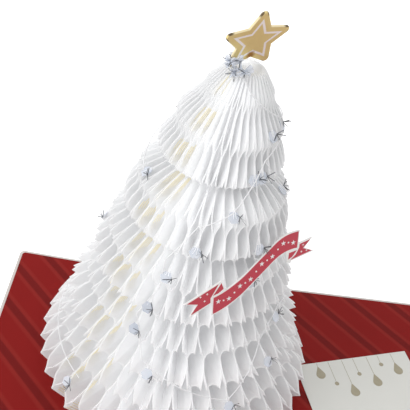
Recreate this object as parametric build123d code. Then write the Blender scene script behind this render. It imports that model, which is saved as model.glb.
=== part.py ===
from build123d import *
from math import cos, sin, tan, pi, radians
import os

os.makedirs("parts", exist_ok=True)

# Pop up card, opened flat on a table. Millimetres, +Z up. The origin is on the table, under
# the foot of the tree. The fold of the card runs along Y, and the long panel lies towards +X.

# Card and its liner
card_depth = 133.0
flap_width = 56.0
panel_width = 184.0
fold_to_tree = 16.4
back_edge_to_tree = 43.7
flap_rise = 4.05
card_thickness = 0.4
liner_thickness = 0.3
liner_margin = 1.2
corner_radius = 2.0

# Loose message panel on the long panel
message_width = 49.0
message_length = 75.0
message_thickness = 0.3
message_turn = 17.0
message_corner = (96.1, 15.6)

# Honeycomb tree: sheets glued in pairs, the pairs shifted half a step from row to row
tree_height = 134.0
tree_lean = 4.2
tree_bow = 2.1
band_count = 40
sheet_thickness = 0.2
first_row = 13.3
row_pitch = 11.4
top_room = 5.7
fork_height = 4.5
fork_above_row = 0.4
skirt_radius = 52.3
skirt_height = 8.5
skirt_flare = 0.73
cut_allowance = 2.5
skirt_overhang = 15.0
lip_radii = (49.6, 42.3, 34.8, 27.4, 20.1)
neck_radii = (41.9, 33.6, 26.6, 17.2)
bulges = (0.3, -0.6, 1.5, 3.7, 2.3)
top_radius = 5.6
lobe_depth = 4.0
lobe_middle = 0.5
lobe_fullness = 0.65

# Glue strips where the two ends of the pad meet
seam_azimuth = 224.0
strip_width = 4.5
strip_height = 6.4
strip_thickness = 0.15
strip_inset = 0.8

# Star on the top
star_radius = 12.0
star_inner_radius = 6.0
star_tip_round = 1.3
star_thickness = 0.8
star_edge_round = 0.2
star_azimuth = 301.4
star_nod = 13.0
star_spin = 4.0
star_offset = (0.4, -1.1)

# Die cut ribbon on the front of the tree. Its wave and its two tails are shares of its length,
# to the right and up from the lower left end of the band's middle line.
banner_thickness = 0.4
banner_height = 72.0
banner_azimuth = 300.0
banner_tilt = 18.0
banner_length = 30.5
banner_start = (-11.3, -3.2)
banner_band_width = 6.6
banner_wave = ((0, 0), (0.29, 0.12), (0.56, 0.335), (0.785, 0.51), (1, 0.55))
left_tail = ((0.13, 0.19), (-0.285, 0.02))
right_tail = ((0.86, 0.385), (1.19, 0.455))
tail_width = 5.4
notch_depth = 3.4

# Sequins of the garland: percent of the tree's height and azimuth of each, from the top down
sequin_width = 4.0
sequin_thickness = 0.2
sequin_sides = 6
sequin_places = (
    (90, 352), (90, 321), (84, 310), (80, 302), (73, 285), (71, 350),
    (69, 264), (69, 309), (61, 306), (58, 248), (51, 244), (51, 250),
    (42, 242), (41, 334), (36, 247), (35, 318), (31, 252), (22, 296),
    (88, 60), (80, 130), (72, 200), (64, 40), (55, 100), (46, 165), (33, 20), (25, 80),
    (16, 140), (15, 225),
)

# Room left between a glued piece and what carries it
seat_gap = 0.1

deck = card_thickness + liner_thickness
fold_x = -fold_to_tree
back_y = back_edge_to_tree
front_y = back_y - card_depth


def card_layer(low, high, margin):
    """Folded sheet between two heights above the underside of the card."""
    rise = radians(flap_rise)
    flap = flap_width - margin

    def fold(height):
        return (fold_x + height * tan(rise / 2), height)

    def flap_end(height):
        return (fold_x - flap * cos(rise) + height * sin(rise), flap * sin(rise) + height * cos(rise))

    end_x = fold_x + panel_width - margin
    section = [flap_end(low), fold(low), (end_x, low), (end_x, high), fold(high), flap_end(high)]
    face = Plane.XZ * Polygon(*section, align=None)
    sheet = Pos(0, front_y + margin, 0) * extrude(face, -(card_depth - 2 * margin))
    return sheet


def folded_sheet(low, high, margin, corner):
    """Card layer with its four corners rounded."""
    sheet = card_layer(low, high, margin)
    corners = [e for e in sheet.edges() if abs(e.length - (high - low)) < 0.01 * (high - low)]
    ends = [e for e in corners if abs(e.center().X - fold_x) > flap_width / 2]
    return fillet(ends, corner)


def mix(a, b, share):
    return a + (b - a) * share


row_count = 1 + int((tree_height - top_room - first_row) / row_pitch)
rows = [first_row + row_pitch * i for i in range(row_count)]
fork_tops = [row + fork_above_row for row in rows]
fork_feet = [top - fork_height for top in fork_tops]
tier_feet = fork_tops[::2][:len(lip_radii)]
tier_heads = fork_feet[2::2][:len(neck_radii)] + [tree_height]
head_radii = neck_radii[:len(tier_heads) - 1] + (top_radius,)


def radius_at(z):
    """Radius of the die cut outline of the pad at a height on the tree."""
    if z <= skirt_height:
        return skirt_radius - skirt_flare * (skirt_height - z)
    if z <= tier_feet[0]:
        return mix(skirt_radius, lip_radii[0], (z - skirt_height) / (tier_feet[0] - skirt_height))
    tier = max(i for i, foot in enumerate(tier_feet) if z >= foot)
    if z > tier_heads[tier]:
        share = (z - tier_heads[tier]) / fork_height
        return mix(head_radii[tier], lip_radii[tier + 1], share)
    share = (z - tier_feet[tier]) / (tier_heads[tier] - tier_feet[tier])
    return mix(lip_radii[tier], head_radii[tier], share) + bulges[tier] * sin(pi * share)


bends = [-cut_allowance] + [z for pair in zip(fork_feet, fork_tops) for z in pair] + [tree_height]


def bow_at(z):
    """Sideways bow of the leaning tree, straight between the rows."""
    def curve(height):
        return -4 * tree_bow * (height / tree_height) * (1 - height / tree_height)

    slab = max(i for i in range(len(bends) - 1) if i == 0 or z >= bends[i])
    low, high = bends[slab], bends[slab + 1]
    return mix(curve(low), curve(high), (z - low) / (high - low))


def on_tree(x, y, z):
    """Point of the upright pad, bowed, leaned and set on the card."""
    lean = radians(tree_lean)
    x = x + bow_at(z)
    return Vector(x * cos(lean) + z * sin(lean), y, z * cos(lean) - x * sin(lean) + deck)


def polar(radius, side, azimuth, z):
    """Point on a band: out along its azimuth, and to one side of its middle plane."""
    x = radius * cos(azimuth) - side * sin(azimuth)
    y = radius * sin(azimuth) + side * cos(azimuth)
    return on_tree(x, y, z)


half_step = pi / band_count
core_radius = sheet_thickness / sin(half_step)
level_count = row_count + 1


def band_azimuth(level, band):
    return half_step * (2 * band + level % 2)


def stations(level):
    """Heights and radii of the outer edge of the bands of one level, from the bottom up.

    Each band is a lobe: widest at its lower tip, and drawn in towards the forks above it.
    """
    if level == 0:
        heights = (-cut_allowance, skirt_height, fork_feet[0])
        return [(z, radius_at(z)) for z in heights]
    low = fork_tops[level - 1]
    if level == row_count:
        return [(low, radius_at(low)), (tree_height, top_radius)]
    high = fork_feet[level]
    middle = mix(low, high, lobe_middle)
    drawn_in = lobe_depth * (1 - lobe_fullness)
    return [(low, radius_at(low)), (middle, radius_at(middle) - drawn_in), (high, radius_at(high) - lobe_depth)]


def outer_edge(level, azimuth, side):
    return [polar(radius, side, azimuth, z) for z, radius in stations(level)]


def pocket_root(level, azimuth):
    """Foot and head of the line where two neighbouring bands meet, near the axis."""
    heights = stations(level)
    return [polar(core_radius, 0, azimuth, heights[i][0]) for i in (0, -1)]


def facet(*corners):
    return Face(Wire.make_polygon(corners, close=True))


def band_faces(level, azimuth):
    """Two walls and the outer edge of one glued pair of sheets."""
    left = outer_edge(level, azimuth, sheet_thickness)
    right = outer_edge(level, azimuth, -sheet_thickness)
    middle = outer_edge(level, azimuth, 0)
    faces = []
    for edge, root in ((left, azimuth + half_step), (right, azimuth - half_step)):
        root_foot, root_head = pocket_root(level, root)
        faces.append(facet(root_foot, root_head, *reversed(edge)))
    last = len(left) - 1
    for i in range(last):
        forked_foot = [middle[i]] if i == 0 and level > 0 else []
        forked_head = [middle[i + 1]] if i == last - 1 and level < row_count else []
        faces.append(facet(right[i], *forked_foot, left[i], left[i + 1], *forked_head, right[i + 1]))
    return faces


def fork_faces(level, azimuth):
    """Sheets of one band parting at its head to join the two bands above."""
    faces = []
    middle = outer_edge(level, azimuth, 0)[-1]
    root_above = pocket_root(level + 1, azimuth)[0]
    for way in (1, -1):
        side = outer_edge(level, azimuth, way * sheet_thickness)[-1]
        neighbour = azimuth + way * half_step
        root_below = pocket_root(level, neighbour)[1]
        above = outer_edge(level + 1, neighbour, 0)[0]
        above_side = outer_edge(level + 1, neighbour, -way * sheet_thickness)[0]
        faces.append(facet(root_below, side, above))
        faces.append(facet(root_above, middle, above_side))
        faces.append(facet(middle, side, above))
        faces.append(facet(middle, above, above_side))
    return faces


def cap_face(level, end):
    """Flat end of the pad, at its foot or at its top."""
    outline = []
    for band in range(band_count):
        azimuth = band_azimuth(level, band)
        outline.append(pocket_root(level, azimuth - half_step)[end])
        outline.append(outer_edge(level, azimuth, -sheet_thickness)[end])
        outline.append(outer_edge(level, azimuth, sheet_thickness)[end])
    return facet(*outline)


def honeycomb_tree():
    """Fanned honeycomb pad with its cells open all round, cut off on the card."""
    faces = [cap_face(0, 0), cap_face(row_count, -1)]
    for level in range(level_count):
        for band in range(band_count):
            azimuth = band_azimuth(level, band)
            faces += band_faces(level, azimuth)
            if level < row_count:
                faces += fork_faces(level, azimuth)
    pad = Solid(Shell(faces))
    return pad - card_layer(-4 * cut_allowance, deck, -skirt_overhang)


def block(corners):
    """Solid with six flat sides on four lower and four upper corners."""
    low, high = corners[:4], corners[4:]
    faces = [facet(*low), facet(*high)]
    for i in range(4):
        j = (i + 1) % 4
        faces.append(facet(low[i], low[j], high[j], high[i]))
    return Solid(Shell(faces))


def seam_strip(level):
    """Strip of glue on the wall of the band next to the seam."""
    band = round((radians(seam_azimuth) / half_step - level % 2) / 2)
    azimuth = band_azimuth(level, band)
    low_z, low_radius = stations(level)[0]
    high_z, high_radius = stations(level)[-1]
    middle = (max(low_z, 0) + high_z) / 2
    corners = []
    for z in (middle - strip_height / 2, middle + strip_height / 2):
        rim = mix(low_radius, high_radius, (z - low_z) / (high_z - low_z)) - strip_inset
        for radius, lift in ((rim, 0), (rim - strip_width, 0), (rim - strip_width, 1), (rim, 1)):
            corners.append(polar(radius, sheet_thickness + lift * strip_thickness, azimuth, z))
    return block(corners)


tree_place = Location((0, 0, deck), (0, tree_lean, 0))


def star_topper():
    """Star with rounded tips, standing on the blunt top of the tree."""
    corners = []
    for i in range(10):
        reach = star_inner_radius if i % 2 else star_radius
        corners.append((reach * sin(pi * i / 5), reach * cos(pi * i / 5)))
    outline = Polygon(*corners, align=None)
    tips = [v for v in outline.vertices() if Vector(v.X, v.Y).length > mix(star_inner_radius, star_radius, 0.5)]
    outline = fillet(tips, star_tip_round)
    plate = extrude(outline, star_thickness / 2, both=True)
    plate = chamfer(plate.faces().sort_by(Axis.Z)[0].edges(), star_edge_round)
    plate = chamfer(plate.faces().sort_by(Axis.Z)[-1].edges(), star_edge_round)
    facing = Rot(0, 0, star_azimuth) * Rot(0, star_nod, 0) * Rot(0, 90, 0) * Rot(0, 0, 90 + star_spin)
    star = facing * plate
    rise = tree_height + seat_gap - star.bounding_box().min.Z
    return tree_place * Pos(*star_offset, rise) * star


def banner_plane():
    """Plane that lies on the tiers of the tree where the ribbon is glued."""
    tilt = radians(banner_tilt)
    turn = radians(banner_azimuth)
    span = [z for z in fork_tops if abs(z - banner_height) < row_pitch]
    reach = max(radius_at(z) * cos(tilt) + z * sin(tilt) for z in span) + seat_gap
    radius = (reach - banner_height * sin(tilt)) / cos(tilt)
    spot = (radius * cos(turn) + bow_at(banner_height), radius * sin(turn), banner_height)
    outward = (cos(tilt) * cos(turn), cos(tilt) * sin(turn), sin(tilt))
    return Plane(origin=spot, x_dir=(-sin(turn), cos(turn), 0), z_dir=outward)


def swallow_tail(root, end):
    """Ribbon end from its root to its tip, with a V notch across the tip."""
    root, end = Vector(*root), Vector(*end)
    along = (end - root).normalized()
    across = Vector(-along.Y, along.X) * (tail_width / 2)
    notch = end - along * notch_depth
    corners = [root - across, end - across, notch, end + across, root + across]
    return Polygon(*[(p.X, p.Y) for p in corners], align=None)


def on_banner(place):
    """Point in the ribbon's plane from its shares of the ribbon's length."""
    return (banner_start[0] + banner_length * place[0], banner_start[1] + banner_length * place[1])


def ribbon_banner():
    """Flat die cut ribbon with a waved band and a swallow tail behind each end."""
    half = banner_band_width / 2
    wave = [on_banner(place) for place in banner_wave]
    top = Spline(*[(x, y + half) for x, y in wave], tangents=[(1, 0.15), (1, 0)])
    bottom = Spline(*[(x, y - half) for x, y in wave], tangents=[(1, 0.15), (1, 0)])
    band = make_face([bottom, Line(bottom @ 1, top @ 1), top, Line(top @ 0, bottom @ 0)])
    tails = [swallow_tail(on_banner(root), on_banner(end)) for root, end in (left_tail, right_tail)]
    outline = (band + tails[0] + tails[1]).face()
    return tree_place * extrude(banner_plane() * outline, banner_thickness)


def sequin(percent, degrees):
    """Six sided sequin on the outer edge of the nearest band."""
    height = tree_height * percent / 100
    level = sum(1 for top in fork_tops if height >= top)
    band = round((radians(degrees) / half_step - level % 2) / 2)
    azimuth = band_azimuth(level, band)
    foot, head = outer_edge(level, azimuth, 0)[:2]
    upward = (head - foot).normalized()
    sideways = (polar(1, 1, azimuth, height) - polar(1, 0, azimuth, height)).normalized()
    outward = sideways.cross(upward).normalized()
    spot = (foot + head) * 0.5 + outward * seat_gap
    plate = extrude(RegularPolygon(sequin_width / 2, sequin_sides), sequin_thickness)
    return Plane(origin=spot, x_dir=sideways, z_dir=outward) * plate


def message_panel():
    """Plain rectangle lying on the liner, its back right corner in a set place."""
    sheet = Box(message_width, message_length, message_thickness, align=(Align.MAX, Align.MAX, Align.MIN))
    return Pos(*message_corner, deck) * Rot(0, 0, message_turn) * sheet


pieces = {
    "base_card": folded_sheet(0, card_thickness, 0, corner_radius),
    "striped_liner": folded_sheet(card_thickness, deck, liner_margin, corner_radius - liner_margin / 2),
    "message_panel": message_panel(),
    "honeycomb_tree": honeycomb_tree(),
    "seam_strips": Compound([seam_strip(level) for level in range(row_count)]),
    "star_topper": star_topper(),
    "ribbon_banner": ribbon_banner(),
    "garland_sequins": Compound([sequin(*place) for place in sequin_places]),
}
for name, piece in pieces.items():
    export_step(piece, f"parts/{name}.step")
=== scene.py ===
from math import cos, pi, radians, sin, tan

import bmesh
import bpy
import numpy as np
from mathutils import Matrix, Vector, noise


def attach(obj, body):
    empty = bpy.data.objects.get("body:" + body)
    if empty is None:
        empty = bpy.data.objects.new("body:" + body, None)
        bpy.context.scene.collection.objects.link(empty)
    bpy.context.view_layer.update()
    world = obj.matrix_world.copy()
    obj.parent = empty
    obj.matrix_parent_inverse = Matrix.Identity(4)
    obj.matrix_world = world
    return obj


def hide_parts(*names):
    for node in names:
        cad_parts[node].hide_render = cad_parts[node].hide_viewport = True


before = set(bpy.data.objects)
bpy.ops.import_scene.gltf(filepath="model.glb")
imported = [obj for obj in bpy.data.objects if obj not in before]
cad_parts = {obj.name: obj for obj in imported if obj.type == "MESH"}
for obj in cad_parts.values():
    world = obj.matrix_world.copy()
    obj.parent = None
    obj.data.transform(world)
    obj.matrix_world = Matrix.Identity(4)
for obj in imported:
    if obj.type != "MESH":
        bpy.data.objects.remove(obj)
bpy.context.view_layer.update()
MM = 0.001


# Base card
# The outer card is one sheet of pale uncoated board, scored and folded once.
# It shows as a thin light border round the printed liner that is glued inside it.

BOARD_COLOURS = ((0.64, 0.6, 0.57), (0.7, 0.66, 0.63))
FIBRE_HEIGHT = 0.1 * MM


def principled(tree):
    return tree.nodes["Principled BSDF"]


def new_material(name, colour, values):
    """Material with one Principled shader, with the given values on its inputs."""
    material = bpy.data.materials.new(name)
    material.use_nodes = True
    inputs = principled(material.node_tree).inputs
    inputs["Base Color"].default_value = (*colour, 1)
    for key, value in values.items():
        inputs[key].default_value = value
    return material


def add_node(tree, kind, values=None, **settings):
    """Shader or geometry node with its settings and the values of its inputs."""
    node = tree.nodes.new(kind)
    for name, value in settings.items():
        setattr(node, name, value)
    for name, value in (values or {}).items():
        if hasattr(value, "is_linked"):
            tree.links.new(value, node.inputs[name])
        else:
            node.inputs[name].default_value = value
    return node


def math_node(tree, operation, first, second=0.0):
    node = add_node(tree, "ShaderNodeMath", {0: first, 1: second}, operation=operation)
    return node.outputs[0]


def object_coords(tree):
    return add_node(tree, "ShaderNodeTexCoord").outputs["Object"]


def fibre_bump(tree, scale, strength):
    """Fine paper tooth as bump, from two noises in object space."""
    coords = object_coords(tree)
    fine = add_node(tree, "ShaderNodeTexNoise", {"Vector": coords, "Scale": scale, "Detail": 4.0})
    coarse = add_node(tree, "ShaderNodeTexNoise", {"Vector": coords, "Scale": scale / 8, "Detail": 2.0})
    both = math_node(tree, "ADD", fine.outputs["Fac"], coarse.outputs["Fac"])
    bump = add_node(tree, "ShaderNodeBump", {
        "Height": both, "Strength": strength, "Distance": FIBRE_HEIGHT})
    tree.links.new(bump.outputs["Normal"], principled(tree).inputs["Normal"])


def noise_cloud(tree, scale):
    place = object_coords(tree)
    cloud = add_node(tree, "ShaderNodeTexNoise", {"Vector": place, "Scale": scale, "Detail": 3.0})
    return cloud.outputs["Fac"]


def mix_colours(tree, factor, first, second):
    mix = add_node(tree, "ShaderNodeMix", {"Factor": factor, "A": first, "B": second}, data_type="RGBA")
    return mix.outputs["Result"]


def mottle(tree, colours, scale):
    """Slow drift between two close colours, as board and paper have."""
    first, second = [(*colour, 1) for colour in colours]
    drift = mix_colours(tree, noise_cloud(tree, scale), first, second)
    tree.links.new(drift, principled(tree).inputs["Base Color"])
    return drift


def mottled_material(name, colours, scale, values):
    material = new_material(name, colours[0], values)
    mottle(material.node_tree, colours, scale)
    return material


def set_material(piece, material):
    piece.data.materials.clear()
    piece.data.materials.append(material)


board = mottled_material("pale_board", BOARD_COLOURS, 90.0, {"Roughness": 0.75, "Specular IOR Level": 0.3})
fibre_bump(board.node_tree, 2400.0, 0.2)
set_material(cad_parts["base_card"], board)


# Striped liner
# The liner is a red sheet printed with slanting darker stripes, each between two thin dull ones.
# It is glued into the card a little inside its edges, and takes the card's fold.

STRIPE_PITCH = 13.555 * MM
STRIPE_PHASE = -26.3 * MM
LINER_RED = (0.235, 0.0085, 0.0075)
LINER_DARK = (0.165, 0.0075, 0.007)
LINER_DULL = (0.255, 0.0165, 0.0135)
LINER_STOPS = (
    (0.0, LINER_DARK), (0.085, LINER_DARK), (0.135, LINER_DULL), (0.2, LINER_DULL), (0.26, LINER_RED),
    (0.74, LINER_RED), (0.8, LINER_DULL), (0.865, LINER_DULL), (0.915, LINER_DARK), (1.0, LINER_DARK),
)
LINER_DRIFT = 0.07


def striped_print():
    material = new_material("striped_print", LINER_RED, {"Roughness": 0.6, "Specular IOR Level": 0.12})
    tree = material.node_tree
    place = add_node(tree, "ShaderNodeSeparateXYZ", {"Vector": object_coords(tree)})
    across = math_node(tree, "ADD", place.outputs["X"], place.outputs["Y"])
    across = math_node(tree, "MULTIPLY", across, 2 ** -0.5)
    across = math_node(tree, "SUBTRACT", across, STRIPE_PHASE)
    share = math_node(tree, "FRACT", math_node(tree, "DIVIDE", across, STRIPE_PITCH))
    ramp = add_node(tree, "ShaderNodeValToRGB", {"Fac": share})
    stops = ramp.color_ramp.elements
    while len(stops) < len(LINER_STOPS):
        stops.new(0.5)
    for stop, (position, colour) in zip(stops, LINER_STOPS):
        stop.position = position
        stop.color = (*colour, 1)
    cloud = noise_cloud(tree, 60.0)
    shade = add_node(tree, "ShaderNodeMapRange", {
        "Value": cloud, "To Min": 1 - LINER_DRIFT, "To Max": 1 + LINER_DRIFT})
    mix = add_node(tree, "ShaderNodeVectorMath", {0: ramp.outputs["Color"]}, operation="SCALE")
    tree.links.new(shade.outputs["Result"], mix.inputs["Scale"])
    tree.links.new(mix.outputs["Vector"], principled(tree).inputs["Base Color"])
    fibre_bump(tree, 1800.0, 0.25)
    return material


set_material(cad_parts["striped_liner"], striped_print())


# Honeycomb tree
# The tree is a pad of die cut white sheets, glued in pairs along rows and fanned out all round.
# From one row to the next each sheet changes its partner, which opens the cells.

TREE_HEIGHT = 134.0
TREE_LEAN = radians(4.2)
TREE_BOW = 2.1
DECK = 0.7
FOLD_X = -16.4
FLAP_RISE = radians(4.05)
BANDS = 40
HALF_STEP = pi / BANDS
FIRST_ROW = 13.3
ROW_PITCH = 11.4
ROW_COUNT = 11
FORK_ABOVE_ROW = 0.4
FORK_TOPS = [FIRST_ROW + ROW_PITCH * i + FORK_ABOVE_ROW for i in range(ROW_COUNT)]
FORK_HEIGHT = 4.5
FORK_FEET = [top - FORK_HEIGHT for top in FORK_TOPS]
SKIRT_HEIGHT = 8.5
SKIRT_RADIUS = 52.3
SKIRT_FLARE = 0.73
TIER_FEET = FORK_TOPS[::2][:5]
TIER_HEADS = FORK_FEET[2::2][:4] + [TREE_HEIGHT]
LIP_RADII = (49.6, 42.3, 34.8, 27.4, 20.1)
HEAD_RADII = (41.9, 33.6, 26.6, 17.2, 5.6)
BULGES = (0.3, -0.6, 1.5, 3.7, 2.3)
LOBE_DEPTH = 4.0
LOBE_FULLNESS = 0.65
FULL_LOBE_RADIUS = 45.0
FLARE = 0.32
FLARE_HEIGHT = 4.5
SHEET_THICKNESS = 0.2
PAIR_GAP = 0.03
CORE_RADII = (2.5, 0.4)
TOP_ROUND = 1.1
SHEET_COLUMNS = (0.0, 0.5, 0.85, 0.985, 1.0)
FORK_SHARES = (0, 0.3, 0.55, 0.75, 0.88, 0.96, 1)
CELL_SHARES = (0.15, 0.4, 0.7)
TOP_SHARES = (1, 0.6, 0.3, 0.1, 0)
RUFFLE = 1.0
RUFFLE_SCALE = Vector((0.1, 0.1, 0.15))
TISSUE_COLOURS = ((0.962, 0.964, 0.968), (0.977, 0.98, 0.98))
PASSED_COLOUR = (0.972, 0.974, 0.978, 1)
PAINTED_GLOW_COLOUR = (0.95, 0.945, 0.955, 1)
PASSED_SHARE = 0.6
SHADOW_SHARE = 0.9
# Painted glow: emission strengths deep in the cells and at the cut rims.
PAINTED_DEPTH_GLOW = 0.29
PAINTED_RIM_GLOW = 0.25
RIM_DEPTH = 0.015


def mix_values(a, b, share):
    return a + (b - a) * share


def smooth(share):
    share = min(max(share, 0.0), 1.0)
    return share * share * (3 - 2 * share)


def radius_at(z):
    """Radius of the die cut outline of the sheets at a height on the tree."""
    if z <= SKIRT_HEIGHT:
        return SKIRT_RADIUS - SKIRT_FLARE * (SKIRT_HEIGHT - z)
    if z <= TIER_FEET[0]:
        return mix_values(SKIRT_RADIUS, LIP_RADII[0], (z - SKIRT_HEIGHT) / (TIER_FEET[0] - SKIRT_HEIGHT))
    tier = max(i for i, foot in enumerate(TIER_FEET) if z >= foot)
    if z > TIER_HEADS[tier]:
        share = (z - TIER_HEADS[tier]) / FORK_HEIGHT
        return mix_values(HEAD_RADII[tier], LIP_RADII[tier + 1], share)
    share = (z - TIER_FEET[tier]) / (TIER_HEADS[tier] - TIER_FEET[tier])
    return mix_values(LIP_RADII[tier], HEAD_RADII[tier], share) + BULGES[tier] * sin(pi * share)


def lobe_at(z):
    """How far the outline is drawn in above the tip of each lobe, and let out again under the next.
    At half height a lobe keeps its fullness."""
    level = sum(1 for top in FORK_TOPS if z >= top)
    if level in (0, ROW_COUNT):
        return 0.0
    tip, head = FORK_TOPS[level - 1], FORK_FEET[level]
    depth = LOBE_DEPTH * min(1, radius_at(z) / FULL_LOBE_RADIUS)
    if z <= head:
        share = (z - tip) / (head - tip)
        return depth * share * mix_values(3 - 4 * LOBE_FULLNESS, 1, share)
    return depth * (1 - ((z - head) / FORK_HEIGHT) ** 3)


def turn_at(z):
    """0 where a sheet is glued to its first partner, 1 where it is glued to its second."""
    turn = 0.0
    for i, (foot, top) in enumerate(zip(FORK_FEET, FORK_TOPS)):
        share = (1 - FLARE) * smooth((z - foot) / (top - foot)) + FLARE * smooth((z - top) / FLARE_HEIGHT)
        turn += share if i % 2 == 0 else -share
    return turn


def sheet_heights():
    heights = [0.0, 3.0, 6.0, SKIRT_HEIGHT]
    for i, (foot, top) in enumerate(zip(FORK_FEET, FORK_TOPS)):
        heights += [mix_values(foot, top, share) for share in FORK_SHARES]
        following = FORK_FEET[i + 1] if i + 1 < ROW_COUNT else TREE_HEIGHT - TOP_ROUND
        heights += [mix_values(top, following, share) for share in CELL_SHARES]
    return heights + [TREE_HEIGHT - TOP_ROUND * share for share in TOP_SHARES]


def beside_band(radius, side, azimuth, z):
    """Point out along a band's azimuth, and to one side of its middle plane."""
    x = radius * cos(azimuth) - side * sin(azimuth)
    y = radius * sin(azimuth) + side * cos(azimuth)
    return Vector((x, y, z))


def sheet_point(column, z, way):
    """Point of one sheet of a pair, before the pad is fanned out: way is 1 or -1."""
    turn = turn_at(z)
    azimuth = way * turn * HALF_STEP
    side = way * (1 - 2 * turn) * (PAIR_GAP + SHEET_THICKNESS) / 2
    outer = radius_at(z) - lobe_at(z)
    rounding = max(0, z - TREE_HEIGHT + TOP_ROUND) / TOP_ROUND
    outer -= TOP_ROUND * (1 - (1 - rounding ** 2) ** 0.5)
    radius = mix_values(mix_values(*CORE_RADII, z / TREE_HEIGHT), outer, column)
    return beside_band(radius, side, azimuth, z)


def mesh_object(name, vertices, faces):
    mesh = bpy.data.meshes.new(name)
    mesh.from_pydata([tuple(v) for v in vertices], [], faces)
    mesh.update()
    piece = bpy.data.objects.new(name, mesh)
    bpy.context.scene.collection.objects.link(piece)
    return piece


def plain_mesh(piece):
    """Turns the piece, with its modifiers, into a plain mesh."""
    bpy.context.view_layer.update()
    evaluated = piece.evaluated_get(bpy.context.evaluated_depsgraph_get())
    mesh = bpy.data.meshes.new_from_object(evaluated)
    piece.modifiers.clear()
    piece.data = mesh
    return piece


def sheet_pair():
    """Two sheets that part and meet in turn, each point with its depth behind the rim."""
    vertices, depths, faces = [], [], []
    heights = sheet_heights()
    columns = len(SHEET_COLUMNS)
    for way in (1, -1):
        first = len(vertices)
        for z in heights:
            vertices += [sheet_point(column, z, way) for column in SHEET_COLUMNS]
            depths += [1 - column for column in SHEET_COLUMNS]
        for row in range(len(heights) - 1):
            for column in range(columns - 1):
                corner = first + row * columns + column
                face = (corner, corner + 1, corner + columns + 1, corner + columns)
                faces.append(face if way == 1 else face[::-1])
    pair = mesh_object("sheet_pair", vertices, faces)
    depth = pair.data.attributes.new("depth", "FLOAT", "POINT")
    depth.data.foreach_set("value", depths)
    wall = pair.modifiers.new("paper", "SOLIDIFY")
    wall.thickness = SHEET_THICKNESS
    wall.offset = 0
    return plain_mesh(pair)


def fan_nodes():
    """Geometry nodes that repeat one pair of sheets all round the axis."""
    tree = bpy.data.node_groups.new("fan_out", "GeometryNodeTree")
    tree.interface.new_socket("Geometry", in_out="INPUT", socket_type="NodeSocketGeometry")
    tree.interface.new_socket("Bands", in_out="INPUT", socket_type="NodeSocketInt")
    tree.interface.new_socket("Paper", in_out="INPUT", socket_type="NodeSocketMaterial")
    tree.interface.new_socket("Geometry", in_out="OUTPUT", socket_type="NodeSocketGeometry")
    given = add_node(tree, "NodeGroupInput")
    points = add_node(tree, "GeometryNodeMeshLine", {"Count": given.outputs["Bands"], "Offset": (0, 0, 0)})
    index = add_node(tree, "GeometryNodeInputIndex")
    step = math_node(tree, "DIVIDE", 2 * pi, given.outputs["Bands"])
    turn = math_node(tree, "MULTIPLY", index.outputs[0], step)
    rotation = add_node(tree, "ShaderNodeCombineXYZ", {"Z": turn})
    fan = add_node(tree, "GeometryNodeInstanceOnPoints", {
        "Points": points.outputs["Mesh"], "Instance": given.outputs["Geometry"],
        "Rotation": rotation.outputs[0]})
    real = add_node(tree, "GeometryNodeRealizeInstances", {"Geometry": fan.outputs["Instances"]})
    painted = add_node(tree, "GeometryNodeSetMaterial", {
        "Geometry": real.outputs["Geometry"], "Material": given.outputs["Paper"]})
    add_node(tree, "NodeGroupOutput", {"Geometry": painted.outputs["Geometry"]})
    return tree


def apply_nodes(piece, tree, **values):
    """Runs a geometry node tree on a piece with the named inputs, and keeps the plain result."""
    modifier = piece.modifiers.new("nodes", "NODES")
    modifier.node_group = tree
    for socket in tree.interface.items_tree:
        if socket.in_out == "INPUT" and socket.name in values:
            modifier[socket.identifier] = values[socket.name]
    return plain_mesh(piece)


def foot_at(x):
    """Height on the tree at which the card's surface lies, across the fold."""
    flat = x * tan(TREE_LEAN)
    level = cos(TREE_LEAN) + sin(TREE_LEAN) * tan(FLAP_RISE)
    flap = (FOLD_X * tan(FLAP_RISE) + x * (sin(TREE_LEAN) - cos(TREE_LEAN) * tan(FLAP_RISE))) / level
    return max(flat, flap)


def bow_at(z):
    """Sideways bow of the leaning pad."""
    return -4 * TREE_BOW * (z / TREE_HEIGHT) * (1 - z / TREE_HEIGHT)


def on_tree(x, y, z):
    """Point of the upright pad, bowed, leaned and set on the card, in metres."""
    x += bow_at(z)
    along = x * cos(TREE_LEAN) + z * sin(TREE_LEAN)
    return Vector((along, y, z * cos(TREE_LEAN) - x * sin(TREE_LEAN) + DECK)) * MM


def lean_tree(piece):
    """Ruffles the sheets a little, sets their feet on the card and leans the pad."""
    for vertex in piece.data.vertices:
        x, y, z = vertex.co
        radius = Vector((x, y)).length
        across = Vector((-y, x)) / radius
        ruffle = RUFFLE * noise.noise(vertex.co * RUFFLE_SCALE) * radius / SKIRT_RADIUS
        x, y = x + across.x * ruffle, y + across.y * ruffle
        if z < SKIRT_HEIGHT:
            z = mix_values(foot_at(x), SKIRT_HEIGHT, z / SKIRT_HEIGHT)
        vertex.co = on_tree(x, y, z)


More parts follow.
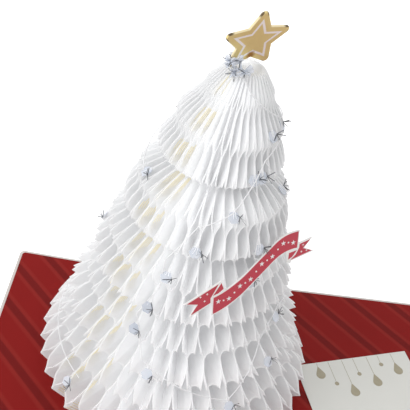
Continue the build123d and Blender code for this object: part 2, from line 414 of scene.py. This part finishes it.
def tissue_paper():
    """Thin paper that passes on over half of its light. A painted glow, by depth behind the rim,
    makes it brightest at its cut rims and in the depth of the cells, in place of light going on from sheet
    to sheet."""
    material = mottled_material("white_tissue", TISSUE_COLOURS, 220.0, {
        "Roughness": 0.6, "Specular IOR Level": 0.2, "Emission Color": PAINTED_GLOW_COLOUR})
    tree = material.node_tree
    shader = principled(tree)
    fibre_bump(tree, 1500.0, 0.15)
    # Painted glow: emission rising with depth behind the rim, and a painted highlight in a narrow band at
    # the cut rims.
    depth = add_node(tree, "ShaderNodeAttribute", attribute_name="depth")
    rim = add_node(tree, "ShaderNodeMapRange", {
        "Value": depth.outputs["Fac"], "From Min": RIM_DEPTH, "From Max": 0.0, "To Max": PAINTED_RIM_GLOW})
    painted_depth_glow = math_node(tree, "MULTIPLY", depth.outputs["Fac"], PAINTED_DEPTH_GLOW)
    painted_glow = math_node(tree, "ADD", painted_depth_glow, rim.outputs["Result"])
    tree.links.new(painted_glow, shader.inputs["Emission Strength"])
    through = add_node(tree, "ShaderNodeBsdfTranslucent", {"Color": PASSED_COLOUR})
    paper = add_node(tree, "ShaderNodeMixShader", {
        0: PASSED_SHARE, 1: shader.outputs[0], 2: through.outputs[0]})
    clear = add_node(tree, "ShaderNodeBsdfTransparent", {"Color": (1, 1, 1, 1)})
    path = add_node(tree, "ShaderNodeLightPath")
    passed = math_node(tree, "MULTIPLY", path.outputs["Is Shadow Ray"], SHADOW_SHARE)
    whole = add_node(tree, "ShaderNodeMixShader", {0: passed, 1: paper.outputs[0], 2: clear.outputs[0]})
    tree.links.new(whole.outputs[0], tree.nodes["Material Output"].inputs["Surface"])
    return material


honeycomb = sheet_pair()
honeycomb.name = "honeycomb_sheets"
apply_nodes(honeycomb, fan_nodes(), Bands=BANDS, Paper=tissue_paper())
lean_tree(honeycomb)
for polygon in honeycomb.data.polygons:
    polygon.use_smooth = True
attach(honeycomb, "root")
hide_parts("honeycomb_tree")


# Seam strips
# The two ends of the pad are joined by strips of glue, which dried to a warm cream.
# Each strip is a few thin streaks beside the slanting rim of its sheet.

SEAM_AZIMUTH = radians(224)
SEAM_BLADES = (-1, 0, 1)
STREAK_INSETS = (0.4, 1.4, 2.4, 3.4, 4.4)
STREAK_WIDTH = 0.32
STREAK_THICKNESS = 0.12
STREAK_HEIGHT = 6.8
STREAK_STAGGER = (0.05, 0.06)
STREAK_LIFT = 0.02
STREAK_STEPS = 5
GLUE_COLOURS = ((0.95, 0.82, 0.48), (0.98, 0.93, 0.76))


def glue_streaks():
    """Streaks on the sheets beside the seam, set out on the upright pad before it leans."""
    vertices, faces = [], []
    stretches = zip([0.0] + FORK_TOPS, FORK_FEET + [TREE_HEIGHT - TOP_ROUND])
    for level, (foot, head) in enumerate(stretches):
        band = round((SEAM_AZIMUTH / HALF_STEP - level % 2) / 2)
        middle = (foot + head) / 2
        for blade in SEAM_BLADES:
            azimuth = HALF_STEP * (2 * (band + blade) + level % 2)
            for number, inset in enumerate(STREAK_INSETS[abs(blade):]):
                low = middle - STREAK_HEIGHT * (0.5 - STREAK_STAGGER[0] * (number % 3))
                high = middle + STREAK_HEIGHT * (0.5 - STREAK_STAGGER[1] * ((number + blade) % 3))
                first = len(vertices)
                for i in range(STREAK_STEPS + 1):
                    z = mix_values(low, high, i / STREAK_STEPS)
                    rim = radius_at(z) - lobe_at(z) - inset
                    side = PAIR_GAP / 2 + SHEET_THICKNESS + STREAK_LIFT
                    for reach, lift in ((0, 0), (STREAK_WIDTH, 0), (STREAK_WIDTH, 1), (0, 1)):
                        vertices.append(beside_band(rim - reach, side + lift * STREAK_THICKNESS, azimuth, z))
                rings = [range(first + 4 * i, first + 4 * i + 4) for i in range(STREAK_STEPS + 1)]
                faces += [rings[0], rings[-1][::-1]]
                for below, above in zip(rings, rings[1:]):
                    faces += [(below[i], above[i], above[(i + 1) % 4], below[(i + 1) % 4]) for i in range(4)]
    return mesh_object("glue_streaks", vertices, [tuple(face) for face in faces])


streaks = glue_streaks()
lean_tree(streaks)
set_material(streaks, mottled_material("dried_glue", GLUE_COLOURS, 260.0, {"Roughness": 0.45}))
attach(streaks, "root")
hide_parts("seam_strips")


# Star
# The star is a die cut board faced with gold foil, its tips rounded, glued on the tree's top.
# A silver outline of a smaller star is printed on its face, and a drop of amber glue shows at its foot.

STAR_AZIMUTH = radians(301.4)
STAR_NOD = radians(13)
STAR_SPIN = radians(4)
STAR_TIP, STAR_NOTCH = 12.0, 6.0
OUTLINE_TIP, OUTLINE_NOTCH = 7.3, 3.5
OUTLINE_WIDTH = 0.7
LINE_BLUR = 0.1
AMBER_PLACE = (-0.3, -5.0, 0)
AMBER_REACH = (2.4, 1.2)
AMBER_WOBBLE = 1.2
# These bands paint a highlight along the star's cut edges and shade on the edges near its tips.
EDGE_HIGHLIGHT_BAND = (-0.42, -0.12)
TIP_SHADE_BAND = (-0.5, -0.2)
TIP_SHADE_RADII = (8.6, 9.6)
GOLD_COLOURS = ((0.74, 0.59, 0.25), (0.83, 0.68, 0.31))
SILVER = (0.98, 0.96, 0.94, 1)
AMBER = (0.36, 0.17, 0.03, 1)
PAINTED_EDGE_HIGHLIGHT = (0.86, 0.74, 0.46, 1)
PAINTED_TIP_SHADE = (0.13, 0.09, 0.045, 1)


def star_place():
    """Middle of the star, which is the mean of its even corners, and its turned axes."""
    corners = {tuple(round(value, 6) for value in v.co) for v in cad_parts["star_topper"].data.vertices}
    middle = sum((Vector(corner) for corner in corners), Vector()) / len(corners)
    facing = Matrix.Rotation(STAR_AZIMUTH, 4, "Z") @ Matrix.Rotation(STAR_NOD + pi / 2, 4, "Y")
    turned = Matrix.Rotation(TREE_LEAN, 4, "Y") @ facing @ Matrix.Rotation(STAR_SPIN + pi / 2, 4, "Z")
    return Matrix.Translation(middle) @ turned


def vector_math(tree, operation, first, second=(0, 0, 0)):
    return add_node(tree, "ShaderNodeVectorMath", {0: first, 1: second}, operation=operation)


def star_line(tree, radius, angle, tip, notch):
    """Distance outside the outline of a five pointed star, from polar coordinates in millimetres."""
    fifth = math_node(tree, "DIVIDE", angle, 2 * pi / 5)
    whole = math_node(tree, "ROUND", fifth)
    offset = math_node(tree, "ABSOLUTE", math_node(tree, "SUBTRACT", fifth, whole))
    turn = math_node(tree, "MULTIPLY", offset, 2 * pi / 5)
    side = Vector((notch * cos(pi / 5) - tip, notch * sin(pi / 5))).normalized()
    inward = math_node(tree, "MULTIPLY", math_node(tree, "COSINE", turn), side.y)
    sideways = math_node(tree, "MULTIPLY", math_node(tree, "SINE", turn), -side.x)
    reach = math_node(tree, "MULTIPLY", radius, math_node(tree, "ADD", inward, sideways))
    return math_node(tree, "SUBTRACT", reach, tip * side.y)


def soft_step(tree, value, low, high):
    """0 before the low value and 1 past the high one."""
    step = add_node(tree, "ShaderNodeMapRange", {"Value": value, "From Min": low, "From Max": high},
                    interpolation_type="SMOOTHSTEP")
    return step.outputs["Result"]


def gold_star():
    """Foil with a silver outline, a drop of amber glue, a painted highlight on its cut edges and painted
    shade at its tips.
    """
    material = new_material("gold_foil", GOLD_COLOURS[0], {"Roughness": 0.36, "Metallic": 0.6})
    tree = material.node_tree
    place = star_place()
    from_middle = vector_math(tree, "SUBTRACT", object_coords(tree), place.to_translation())
    axes = [place.to_3x3() @ Vector(axis) / MM for axis in ((1, 0, 0), (0, 1, 0))]
    across, along = [vector_math(tree, "DOT_PRODUCT", from_middle.outputs["Vector"], axis) for axis in axes]
    x, y = across.outputs["Value"], along.outputs["Value"]
    flat = add_node(tree, "ShaderNodeCombineXYZ", {"X": x, "Y": y}).outputs["Vector"]
    radius = vector_math(tree, "LENGTH", flat).outputs["Value"]
    angle = math_node(tree, "ARCTAN2", x, y)

    colour = mottle(tree, GOLD_COLOURS, 400.0)
    line = math_node(tree, "ABSOLUTE", star_line(tree, radius, angle, OUTLINE_TIP, OUTLINE_NOTCH))
    silver = soft_step(tree, line, OUTLINE_WIDTH / 2 + LINE_BLUR, OUTLINE_WIDTH / 2 - LINE_BLUR)
    colour = mix_colours(tree, silver, colour, SILVER)

    spot = vector_math(tree, "DISTANCE", flat, AMBER_PLACE).outputs["Value"]
    spot = math_node(tree, "ADD", spot, math_node(tree, "MULTIPLY", noise_cloud(tree, 900.0), AMBER_WOBBLE))
    colour = mix_colours(tree, soft_step(tree, spot, *AMBER_REACH), colour, AMBER)

    # Painted highlight: a pale band along the cut edges.
    rim = star_line(tree, radius, angle, STAR_TIP, STAR_NOTCH)
    colour = mix_colours(tree, soft_step(tree, rim, *EDGE_HIGHLIGHT_BAND), colour, PAINTED_EDGE_HIGHLIGHT)
    # Painted shade: the cut edges turn dark brown near the tips.
    tips = soft_step(tree, radius, *TIP_SHADE_RADII)
    tip_shade_mask = math_node(tree, "MULTIPLY", soft_step(tree, rim, *TIP_SHADE_BAND), tips)
    colour = mix_colours(tree, tip_shade_mask, colour, PAINTED_TIP_SHADE)
    tree.links.new(colour, principled(tree).inputs["Base Color"])
    return material


set_material(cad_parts["star_topper"], gold_star())


# Ribbon banner
# The ribbon is one flat die cut card, white at its cut edges and printed crimson inside them.
# White lines left in the print draw the two curls where the ribbon seems to fold behind its band.

BANNER_HEIGHT = 72.0
BANNER_AZIMUTH = radians(300)
BANNER_TILT = radians(18)
BANNER_GAP = 0.1
BANNER_THICKNESS = 0.4
BANNER_LENGTH = 30.5
BANNER_START = (-11.3, -3.2)
BANNER_WAVE = ((0, 0), (0.29, 0.12), (0.56, 0.335), (0.785, 0.51), (1, 0.55))
WAVE_ENDS = (0.15, 0.0)
BAND_WIDTH = 6.6
BAND_STEPS = 30
WHITE_EDGE = 0.42
PRINT_THICKNESS = 0.04
EDGE_COLOURS = ((0.86, 0.84, 0.82), (0.9, 0.88, 0.87))
CRIMSON_COLOURS = ((0.47, 0.028, 0.05), (0.53, 0.034, 0.062))
INK_COLOURS = ((0.82, 0.8, 0.79), (0.88, 0.86, 0.85))
PRINT_DRIFT = 300.0
TAIL_PRINTS = (
    ((-9.35, 4.2), (-20.05, -0.15), (-16.25, -1.2), (-18.55, -4.4), (-11.95, -1.75), (-11.95, -0.1),
     (-10.75, 1.8)),
    ((-11.15, 0.55), (-10.1, 1.9), (-8.35, 4.35), (-7.5, 2.15), (-9.2, 1.05)),
    ((19.65, 10.5), (19.65, 11.75), (23.7, 12.6), (21.1, 9.95), (24.7, 8.4), (16.6, 6.65), (18.5, 8.2)),
    ((15.85, 9.3), (15.75, 6.95), (17.2, 7.7), (18.75, 9.7)),
)
MOTIF_COUNT = 15
MOTIF_ENDS = (0.07, 0.93)
MOTIF_SWING = 0.7
STAR_REACH, DOT_REACH, SPECK_REACH = 0.95, 0.3, 0.45
SPECKS = ((-15.5, 1.2), (-14.0, -0.6), (-13.2, 1.7), (21.0, 11.2), (20.6, 8.8), (22.6, 8.9))


def banner_place():
    """Plane on the tiers of the tree where the ribbon lies, in millimetres."""
    near = [z for z in FORK_TOPS if abs(z - BANNER_HEIGHT) < ROW_PITCH]
    reach = max(radius_at(z) * cos(BANNER_TILT) + z * sin(BANNER_TILT) for z in near) + BANNER_GAP
    radius = (reach - BANNER_HEIGHT * sin(BANNER_TILT)) / cos(BANNER_TILT)
    x, y = radius * cos(BANNER_AZIMUTH) + bow_at(BANNER_HEIGHT), radius * sin(BANNER_AZIMUTH)
    lean = Matrix.Translation((0, 0, DECK)) @ Matrix.Rotation(TREE_LEAN, 4, "Y")
    turned = Matrix.Rotation(BANNER_AZIMUTH + pi / 2, 4, "Z")
    tilted = Matrix.Rotation(pi / 2 - BANNER_TILT, 4, "X")
    return lean @ Matrix.Translation((x, y, BANNER_HEIGHT)) @ turned @ tilted


def flat_print(name, outlines, place, low, material):
    """Thin printed layer, from closed outlines in the plane of its place, in millimetres."""
    layer = bmesh.new()
    for outline in outlines:
        rings = [[layer.verts.new(place @ Vector((x, y, z)) * MM) for x, y in outline]
                 for z in (low, low + PRINT_THICKNESS)]
        layer.faces.new(rings[0][::-1])
        layer.faces.new(rings[1])
        for i in range(len(outline)):
            j = (i + 1) % len(outline)
            layer.faces.new((rings[0][i], rings[0][j], rings[1][j], rings[1][i]))
    bmesh.ops.recalc_face_normals(layer, faces=layer.faces)
    piece = mesh_object(name, [], [])
    layer.to_mesh(piece.data)
    layer.free()
    set_material(piece, material)
    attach(piece, "root")
    return piece


def band_point(share, side):
    """Point of the band, from its share of the length and its distance from the middle line."""
    last = len(BANNER_WAVE) - 1
    slopes = [WAVE_ENDS[0]]
    for before, after in zip(BANNER_WAVE, BANNER_WAVE[2:]):
        slopes.append((after[1] - before[1]) / (after[0] - before[0]))
    slopes.append(WAVE_ENDS[1])
    i = min(last - 1, max(n for n in range(last + 1) if share >= BANNER_WAVE[n][0]))
    (x0, y0), (x1, y1) = BANNER_WAVE[i:i + 2]
    t, span = (share - x0) / (x1 - x0), x1 - x0
    y = mix_values(y0, y1, smooth(t)) + span * t * (1 - t) * (slopes[i] * (1 - t) - slopes[i + 1] * t)
    return (BANNER_START[0] + BANNER_LENGTH * share, BANNER_START[1] + BANNER_LENGTH * y + side)


def band_outline():
    half = BAND_WIDTH / 2 - WHITE_EDGE
    end = WHITE_EDGE / BANNER_LENGTH
    shares = [mix_values(end, 1 - end, i / BAND_STEPS) for i in range(BAND_STEPS + 1)]
    low, high = [[band_point(share, side) for share in shares] for side in (-half, half)]
    return low + high[::-1]


def small_star(x, y, reach, points=5, notch=0.4):
    """Outline of a little star. A notch of 1 makes it a dot."""
    corners = []
    for i in range(2 * points):
        r = reach if i % 2 == 0 else reach * notch
        corners.append((x + r * sin(pi * i / points), y + r * cos(pi * i / points)))
    return corners


def small_dot(x, y, reach):
    return small_star(x, y, reach, points=8, notch=1)


def band_motifs():
    """Row of little stars with dots between them, along the wave of the band."""
    motifs = []
    for i in range(MOTIF_COUNT):
        share = mix_values(*MOTIF_ENDS, i / (MOTIF_COUNT - 1))
        place = band_point(share, MOTIF_SWING * (0, 1, 0, -1)[(i + 1) % 4])
        motifs.append(small_star(*place, STAR_REACH) if i % 2 == 0 else small_dot(*place, DOT_REACH))
    return motifs + [small_star(x, y, SPECK_REACH, points=4) for x, y in SPECKS]


edge_white = mottled_material("banner_card_white", EDGE_COLOURS, PRINT_DRIFT, {"Roughness": 0.6})
set_material(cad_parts["ribbon_banner"], edge_white)
crimson = mottled_material("crimson_print", CRIMSON_COLOURS, PRINT_DRIFT, {"Roughness": 0.4})
banner = banner_place()
banner_print = flat_print("ribbon_print", [band_outline(), *TAIL_PRINTS], banner, BANNER_THICKNESS, crimson)
white_ink = mottled_material("white_ink", INK_COLOURS, PRINT_DRIFT, {"Roughness": 0.55})
print_top = BANNER_THICKNESS + PRINT_THICKNESS
motifs = flat_print("ribbon_motifs", band_motifs(), banner, print_top, white_ink)


# Garland
# Small pearly sequins hang on the outer edges of the cells, threaded on a fine white thread.
# Beside each sequin a little sprig of dark silver tinsel is twisted into the thread.

THREAD_RADIUS = 0.17
THREAD_STEP = 6.0
THREAD_RUNS = (
    (0.3, ((100, 262), (90, 352), (84, 310), (80, 302), (69, 309), (61, 306), (58, 320))),
    (0.3, ((80, 302), (73, 285), (69, 264))),
    (-1.2, ((69, 264), (58, 248), (51, 250), (42, 242), (36, 247), (31, 252), (22, 296), (35, 318),
            (41, 334), (33, 380), (25, 440), (16, 500), (15, 585))),
    (0.3, ((84, 310), (71, 350), (64, 400), (55, 460), (46, 525))),
    (0.3, ((90, 352), (88, 420), (80, 490), (72, 560))),
)
KNOT_PLACES = ((102, 215), (103, 240), (101, 262), (100, 232))
WHISKERS = 7
WHISKER_LENGTH = 2.6
WHISKER_WIDTH = 0.24
FLAKE_LENGTH = 2.4
FLAKE_WIDTH = 1.1
WHISKER_LENGTHS = (0.6, 1.15)
WHISKER_FLATNESS = 0.3
SPRIG_LEAN = 0.8
SPRIG_OFFSET = 1.9
FILM_COLOURS = ((0.7, 0.78, 0.9), (0.88, 0.88, 0.92))
THREAD_COLOURS = ((0.85, 0.85, 0.86), (0.92, 0.92, 0.93))
TINSEL_COLOURS = ((0.03, 0.033, 0.04), (0.28, 0.29, 0.31))


def garland_point(percent, degrees, outset=0.3):
    """Point beside the lips of the cells, from percent of the tree's height and azimuth."""
    z = TREE_HEIGHT * percent / 100
    heights = FORK_TOPS + [TREE_HEIGHT]
    radius = float(np.interp(z, heights, [radius_at(height) for height in heights])) + outset
    return on_tree(radius * cos(radians(degrees)), radius * sin(radians(degrees)), z)


def garland_thread():
    """Thread laid from place to place round the tree."""
    curve = bpy.data.curves.new("thread", "CURVE")
    curve.dimensions = "3D"
    curve.bevel_depth = THREAD_RADIUS * MM
    curve.bevel_resolution = 1
    curve.use_fill_caps = True
    for outset, run in THREAD_RUNS:
        points = []
        for (low, start), (high, end) in zip(run, run[1:]):
            steps = max(2, int(abs(end - start) / THREAD_STEP) + 1)
            for share in (i / steps for i in range(steps)):
                percent, degrees = mix_values(low, high, share), mix_values(start, end, share)
                points.append(garland_point(percent, degrees, outset))
        points.append(garland_point(*run[-1], outset))
        line = curve.splines.new("POLY")
        line.points.add(len(points) - 1)
        for point, place in zip(line.points, points):
            point.co = (*place, 1)
    laid = bpy.data.objects.new("laid_thread", curve)
    bpy.context.scene.collection.objects.link(laid)
    bpy.context.view_layer.update()
    mesh = bpy.data.meshes.new_from_object(laid.evaluated_get(bpy.context.evaluated_depsgraph_get()))
    bpy.data.objects.remove(laid)
    piece = bpy.data.objects.new("garland_thread", mesh)
    bpy.context.scene.collection.objects.link(piece)
    return piece


def sequin_centres():
    """Middle of each sequin, from the separate discs in the mesh of its node."""
    discs = bmesh.new()
    discs.from_mesh(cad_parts["garland_sequins"].data)
    bmesh.ops.remove_doubles(discs, verts=discs.verts, dist=1e-6)
    found, centres = set(), []
    for first in discs.verts:
        disc = [] if first in found else [first]
        found.update(disc)
        for vertex in disc:
            fresh = [edge.other_vert(vertex) for edge in vertex.link_edges]
            fresh = [other for other in fresh if other not in found]
            found.update(fresh)
            disc += fresh
        if disc:
            centres.append(sum((vertex.co for vertex in disc), Vector()) / len(disc))
    discs.free()
    return sorted(centres, key=lambda centre: [round(value, 4) for value in centre])


def sprig_nodes():
    """Geometry nodes that grow thin flat whiskers on each point, leaning out from the tree."""
    tree = bpy.data.node_groups.new("sprigs", "GeometryNodeTree")
    kinds = {"Geometry": "Geometry", "Whiskers": "Int", "Length": "Float", "Width": "Float",
             "Foil": "Material"}
    for name, kind in kinds.items():
        tree.interface.new_socket(name, in_out="INPUT", socket_type="NodeSocket" + kind)
    tree.interface.new_socket("Geometry", in_out="OUTPUT", socket_type="NodeSocketGeometry")
    given = add_node(tree, "NodeGroupInput")
    more = add_node(tree, "GeometryNodeDuplicateElements", {
        "Geometry": given.outputs["Geometry"], "Amount": given.outputs["Whiskers"]}, domain="POINT")
    outward = add_node(tree, "GeometryNodeInputNamedAttribute", {"Name": "outward"},
                       data_type="FLOAT_VECTOR")
    spread = add_node(tree, "FunctionNodeRandomValue", {"Min": (-1, -1, -1), "Max": (1, 1, 1), "Seed": 5},
                      data_type="FLOAT_VECTOR")
    lean = vector_math(tree, "ADD", outward.outputs["Attribute"], spread.outputs["Value"])
    rotation = add_node(tree, "FunctionNodeAlignRotationToVector", {"Vector": lean.outputs["Vector"]},
                        axis="Z")
    thickness = math_node(tree, "MULTIPLY", given.outputs["Width"], WHISKER_FLATNESS)
    size = add_node(tree, "ShaderNodeCombineXYZ", {
        "X": given.outputs["Width"], "Y": thickness, "Z": given.outputs["Length"]})
    strip = add_node(tree, "GeometryNodeMeshCube", {"Size": size.outputs["Vector"]})
    half_length = math_node(tree, "MULTIPLY", given.outputs["Length"], 0.5)
    lift = add_node(tree, "ShaderNodeCombineXYZ", {"Z": half_length})
    whisker = add_node(tree, "GeometryNodeTransform", {
        "Geometry": strip.outputs["Mesh"], "Translation": lift.outputs["Vector"]})
    length = add_node(tree, "FunctionNodeRandomValue", {
        2: WHISKER_LENGTHS[0], 3: WHISKER_LENGTHS[1], "Seed": 11}, data_type="FLOAT")
    grown = add_node(tree, "GeometryNodeInstanceOnPoints", {
        "Points": more.outputs["Geometry"], "Instance": whisker.outputs["Geometry"],
        "Rotation": rotation.outputs["Rotation"], "Scale": length.outputs[1]})
    real = add_node(tree, "GeometryNodeRealizeInstances", {"Geometry": grown.outputs["Instances"]})
    painted = add_node(tree, "GeometryNodeSetMaterial", {
        "Geometry": real.outputs["Geometry"], "Material": given.outputs["Foil"]})
    add_node(tree, "NodeGroupOutput", {"Geometry": painted.outputs["Geometry"]})
    return tree


def beside_tree(place):
    """Direction from the tree's middle line out to a place."""
    return (place - on_tree(0, 0, place.z / MM)).normalized()


def sprigs(name, places, material, length, width):
    """Sprigs at the given places, facing out from the tree."""
    piece = mesh_object(name, places, [])
    outward = piece.data.attributes.new("outward", "FLOAT_VECTOR", "POINT")
    for item, place in zip(outward.data, places):
        item.vector = beside_tree(place) * SPRIG_LEAN
    sizes = {"Length": length * MM, "Width": width * MM}
    apply_nodes(piece, sprig_nodes(), Whiskers=WHISKERS, Foil=material, **sizes)
    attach(piece, "root")
    return piece


film = mottled_material("pearl_film", FILM_COLOURS, 500.0, {
    "Roughness": 0.15, "Alpha": 0.7, "Specular IOR Level": 0.8})
set_material(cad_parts["garland_sequins"], film)

thread = garland_thread()
set_material(thread, mottled_material("white_thread", THREAD_COLOURS, PRINT_DRIFT, {"Roughness": 0.7}))
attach(thread, "root")

tinsel = mottled_material("dark_tinsel", TINSEL_COLOURS, 900.0, {"Roughness": 0.35, "Metallic": 0.8})
upwards = Vector((0, 0, SPRIG_OFFSET * MM))
beside = [centre + upwards.cross(beside_tree(centre)) for centre in sequin_centres()]
knot = [garland_point(*place) for place in KNOT_PLACES]
sprigs("tinsel_sprigs", beside + knot, tinsel, WHISKER_LENGTH, WHISKER_WIDTH)
sprigs("knot_film", knot, film, FLAKE_LENGTH, FLAKE_WIDTH)


# Message panel
# A loose sheet of cream paper lies on the long panel of the card.
# Drops and dots hang on fine lines from its back edge, printed in dull gold.

PANEL_CORNER = (96.1, 15.6)
PANEL_TURN = radians(17)
PANEL_THICKNESS = 0.3
DROPS = ((-7, 9), (-18, 13), (-29, 16), (-40, 6))
DOTS = ((-13, 5), (-24, 8), (-35, 11))
DROP_WIDTH = 3.8
DROP_POINT = 2.2
DROP_SIDES = 12
DROP_SHOULDER = 30
DOT_WIDTH = 1.8
LINE_WIDTH = 0.16
LINE_TOP = -0.4
CREAM_COLOURS = ((0.7, 0.7, 0.66), (0.74, 0.735, 0.695))
DULL_GOLD_COLOURS = ((0.32, 0.28, 0.19), (0.42, 0.38, 0.28))


def drop(x, y, reach):
    """Outline of a hanging drop, pointed at its upper end."""
    corners = [(x, y + DROP_POINT * reach)]
    for i in range(DROP_SIDES + 1):
        angle = radians(mix_values(180 - DROP_SHOULDER, 360 + DROP_SHOULDER, i / DROP_SIDES))
        corners.append((x + reach * cos(angle), y + reach * sin(angle)))
    return corners


def hanging_line(x, low):
    half = LINE_WIDTH / 2
    return [(x - half, LINE_TOP), (x - half, low), (x + half, low), (x + half, LINE_TOP)]


def ornaments():
    """Drops and dots, each at the end of its line from the panel's back edge."""
    shapes = []
    for x, length in DROPS:
        shapes += [hanging_line(x, DROP_POINT * DROP_WIDTH / 2 - length), drop(x, -length, DROP_WIDTH / 2)]
    for x, length in DOTS:
        shapes += [hanging_line(x, DOT_WIDTH / 2 - length), small_dot(x, -length, DOT_WIDTH / 2)]
    return shapes


cream = mottled_material("cream_paper", CREAM_COLOURS, 80.0, {"Roughness": 0.7})
fibre_bump(cream.node_tree, 2000.0, 0.2)
set_material(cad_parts["message_panel"], cream)
dull_gold = mottled_material("dull_gold_print", DULL_GOLD_COLOURS, PRINT_DRIFT, {"Roughness": 0.45})
panel = Matrix.Translation((*PANEL_CORNER, DECK)) @ Matrix.Rotation(PANEL_TURN, 4, "Z")
hangings = flat_print("panel_ornaments", ornaments(), panel, PANEL_THICKNESS, dull_gold)


# Table, light and camera
# A plain pale table and backdrop, one large soft lamp from the upper left and an even white room.

ROOM_LIGHT = 0.85
BACKDROP_LIGHT = 0.6
TABLE_REACH = 3.0
TABLE_COLOUR = (0.8, 0.8, 0.8)
LAMP_PLACE = Vector((-0.6, -0.2, 0.62))
LAMP_AIM = Vector((0, 0, 0.08))
LAMP_SIZE = 0.6
LAMP_POWER = 2.45
CAMERA_LENS = 64.75
CAMERA_AZIMUTH = radians(-1.85)
CAMERA_ELEVATION = radians(40.56)
CAMERA_ROLL = radians(8.29)
CAMERA_DISTANCE = 367.3
CAMERA_TARGET = Vector((6.75, 93.67, DECK))


def seen_directly(tree):
    """1 on the rays that see the backdrop itself, straight on, mirrored or through something clear.
    Light that paper scatters on through itself is left out."""
    path = add_node(tree, "ShaderNodeLightPath").outputs
    seen = math_node(tree, "MAXIMUM", path["Is Camera Ray"], path["Is Glossy Ray"])
    clear = math_node(tree, "SUBTRACT", path["Is Transmission Ray"], path["Is Diffuse Ray"])
    return math_node(tree, "MAXIMUM", seen, clear)


def studio_white():
    material = new_material("table_white", TABLE_COLOUR, {
        "Roughness": 0.9, "Specular IOR Level": 0.0, "Emission Color": (1, 1, 1, 1)})
    tree = material.node_tree
    strength = math_node(tree, "MULTIPLY", seen_directly(tree), BACKDROP_LIGHT)
    tree.links.new(strength, principled(tree).inputs["Emission Strength"])
    return material


corners = [(x * TABLE_REACH, y * TABLE_REACH, 0) for x, y in ((-1, -1), (1, -1), (1, 1), (-1, 1))]
table = mesh_object("table", corners, [(0, 1, 2, 3)])
set_material(table, studio_white())

world = bpy.data.worlds.new("room")
world.use_nodes = True
bpy.context.scene.world = world
background = world.node_tree.nodes["Background"]
background.inputs["Color"].default_value = (1, 1, 1, 1)
seen = seen_directly(world.node_tree)
glow = add_node(world.node_tree, "ShaderNodeMapRange", {"Value": seen, "To Min": ROOM_LIGHT, "To Max": 1.0})
world.node_tree.links.new(glow.outputs["Result"], background.inputs["Strength"])

lamp = bpy.data.objects.new("key_lamp", bpy.data.lights.new("key_lamp", "AREA"))
lamp.data.shape = "DISK"
lamp.data.size = LAMP_SIZE
lamp.data.energy = LAMP_POWER
lamp.location = LAMP_PLACE
lamp.rotation_euler = (LAMP_AIM - LAMP_PLACE).to_track_quat("-Z", "Y").to_euler()
bpy.context.scene.collection.objects.link(lamp)

back = Vector((sin(CAMERA_AZIMUTH) * cos(CAMERA_ELEVATION), -cos(CAMERA_AZIMUTH) * cos(CAMERA_ELEVATION),
               sin(CAMERA_ELEVATION)))
level = (-back).cross(Vector((0, 0, 1))).normalized()
above = level.cross(-back)
right = level * cos(CAMERA_ROLL) + above * sin(CAMERA_ROLL)
up = above * cos(CAMERA_ROLL) - level * sin(CAMERA_ROLL)
camera = bpy.data.objects.new("camera", bpy.data.cameras.new("camera"))
camera.data.lens = CAMERA_LENS
camera.data.clip_start = 0.01
camera.matrix_world = Matrix((right, up, back)).transposed().to_4x4()
camera.location = (CAMERA_TARGET + back * CAMERA_DISTANCE) * MM
bpy.context.scene.collection.objects.link(camera)
bpy.context.scene.camera = camera
bpy.context.scene.view_settings.view_transform = "Standard"
